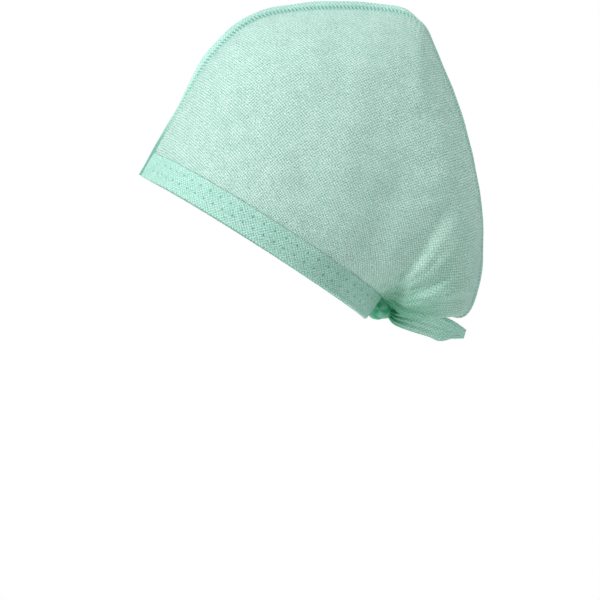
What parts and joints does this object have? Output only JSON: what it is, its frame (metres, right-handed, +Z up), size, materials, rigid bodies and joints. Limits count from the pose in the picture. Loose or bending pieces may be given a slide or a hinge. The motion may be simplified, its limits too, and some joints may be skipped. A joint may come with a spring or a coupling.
{
  "type": "scrub cap",
  "caption": "Tie-back surgical scrub cap of thin green nonwoven with a centre seam, a folded band and two ties knotted at the nape, in its worn shape.",
  "frame": {"origin": "centre of the head opening, halfway between the bottom edge of the band at the brow and at the nape, in the middle of the cap", "axes": "+Z up as worn, the brow faces -Y, +X towards the wearer's left; the rim slopes down from the brow to the nape"},
  "size_m": [0.1588, 0.2451, 0.2385],
  "materials": {
    "nonwoven": "matte, translucent single ply of embossed spunbond",
    "nonwoven_folded": "matte, the same spunbond in several plies, so denser and greener"
  },
  "bodies": {
    "root": {"crown_left": "nonwoven", "crown_right": "nonwoven", "band_left": "nonwoven_folded", "band_right": "nonwoven_folded", "centre_seam": "nonwoven_folded", "tie_knot": "nonwoven_folded", "tie_left": "nonwoven_folded", "tie_right": "nonwoven_folded"}
  },
  "joints": []
}
